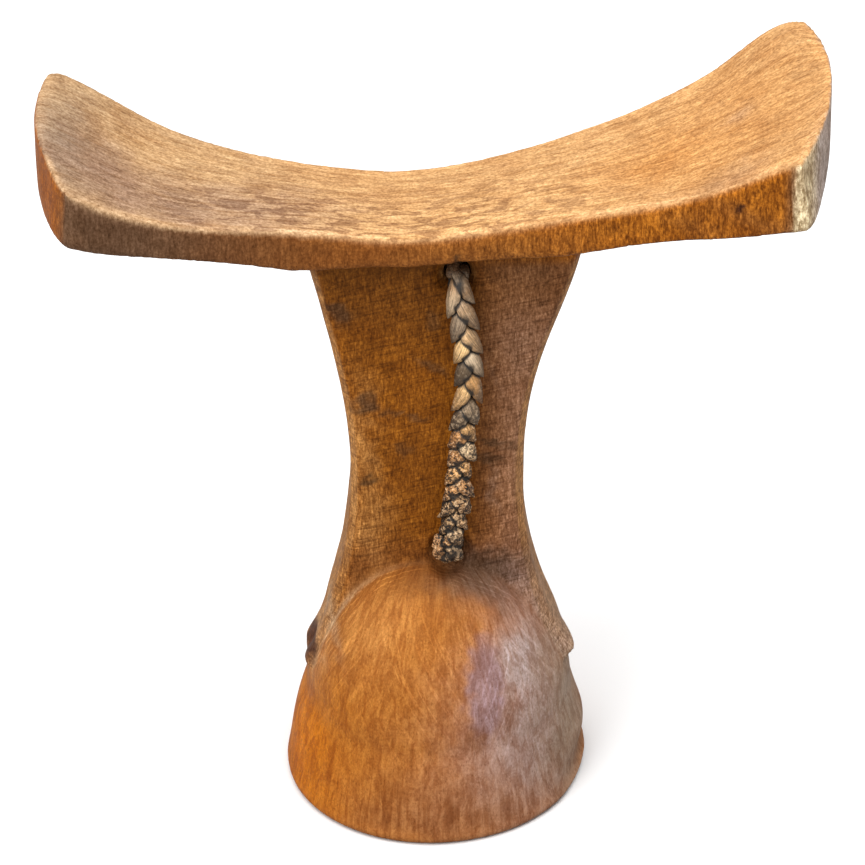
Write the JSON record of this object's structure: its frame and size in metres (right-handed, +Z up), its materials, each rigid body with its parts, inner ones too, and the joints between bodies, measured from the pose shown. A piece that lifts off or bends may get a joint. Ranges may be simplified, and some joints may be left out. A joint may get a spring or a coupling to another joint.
{
  "type": "carved headrest",
  "caption": "Headrest carved from one block: a saddle-shaped neck rest on a waisted flat column and a domed round foot, with a plaited leather carrying strap.",
  "frame": {"origin": "centre of the flat underside of the foot, on the floor", "axes": "+Z up; the saddle runs along X with its higher horn at +X; the strap side faces -Y"},
  "size_m": [0.1901, 0.0794, 0.1997],
  "materials": {
    "wood": "hand-carved hardwood with fine dark pores, worn to a soft shine",
    "leather": "raw plaited hide, pale and dry on one side, blackened on the other"
  },
  "bodies": {
    "root": {"carved_body": "wood", "top_knot": "leather", "bottom_knot": "leather", "strap_thong_1": "leather", "strap_thong_2": "leather", "strap_thong_3": "leather"}
  },
  "joints": []
}
